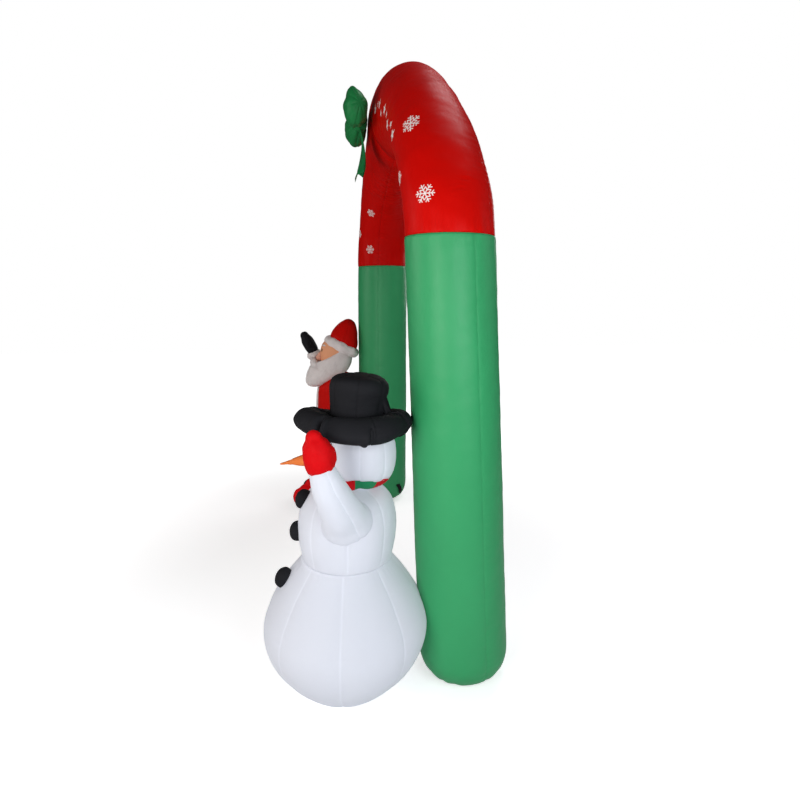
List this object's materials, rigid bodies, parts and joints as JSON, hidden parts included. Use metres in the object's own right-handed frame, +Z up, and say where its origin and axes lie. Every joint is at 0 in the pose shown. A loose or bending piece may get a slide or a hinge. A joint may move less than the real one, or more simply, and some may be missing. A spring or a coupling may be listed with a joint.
{
  "type": "inflatable arch",
  "caption": "Inflatable winter arch: a red and green air-filled tube to walk under, with a bow at the crown and a snowman and a bearded figure in front of its legs.",
  "frame": {"origin": "on the ground, below the middle of the part's bounding box", "axes": "+Z up; X along the arch's span, +X towards the snowman; -Y is the front, which the figures face"},
  "size_m": [2.7126, 1.0312, 3.05],
  "materials": {
    "red_cloth": "coated polyester, satin",
    "green_cloth": "coated polyester, satin",
    "bow_cloth": "soft polyester",
    "white_cloth": "coated polyester, satin",
    "black_cloth": "coated polyester, satin",
    "orange_cloth": "coated polyester, satin",
    "mitten_cloth": "coated polyester, satin",
    "scarf_cloth": "soft polyester, in red and green lengths",
    "coat_cloth": "coated polyester, satin",
    "fleece": "short fleece",
    "skin_cloth": "coated polyester, satin",
    "webbing": "woven webbing"
  },
  "bodies": {
    "root": {"arch_top": "red_cloth", "leg_near": "green_cloth", "leg_far": "green_cloth", "stake_loop_near": "webbing", "stake_loop_far": "webbing", "bow_knot": "bow_cloth", "bow_loop_near": "bow_cloth", "bow_loop_far": "bow_cloth", "bow_tail_near": "bow_cloth", "bow_tail_far": "bow_cloth", "snowman_lower": "white_cloth", "snowman_middle": "white_cloth", "snowman_head": "white_cloth", "snowman_hat_brim": "black_cloth", "snowman_hat_crown": "black_cloth", "snowman_nose": "orange_cloth", "snowman_arm_near": "white_cloth", "snowman_arm_far": "white_cloth", "snowman_mitten_near": "mitten_cloth", "snowman_mitten_far": "mitten_cloth", "snowman_scarf": "scarf_cloth", "snowman_button_1": "black_cloth", "snowman_button_2": "black_cloth", "snowman_button_3": "black_cloth", "figure_coat": "coat_cloth", "figure_hem": "fleece", "figure_edging": "fleece", "figure_boot_near": "black_cloth", "figure_boot_far": "black_cloth", "figure_trouser_near": "coat_cloth", "figure_trouser_far": "coat_cloth", "figure_face": "skin_cloth", "figure_hat": "coat_cloth", "figure_hat_trim": "fleece", "figure_beard": "fleece", "figure_moustache": "fleece", "figure_nose": "skin_cloth", "figure_arm_near": "coat_cloth", "figure_arm_far": "coat_cloth", "figure_cuff_near": "fleece", "figure_cuff_far": "fleece", "figure_mitten_near": "black_cloth", "figure_mitten_far": "black_cloth"}
  },
  "joints": []
}
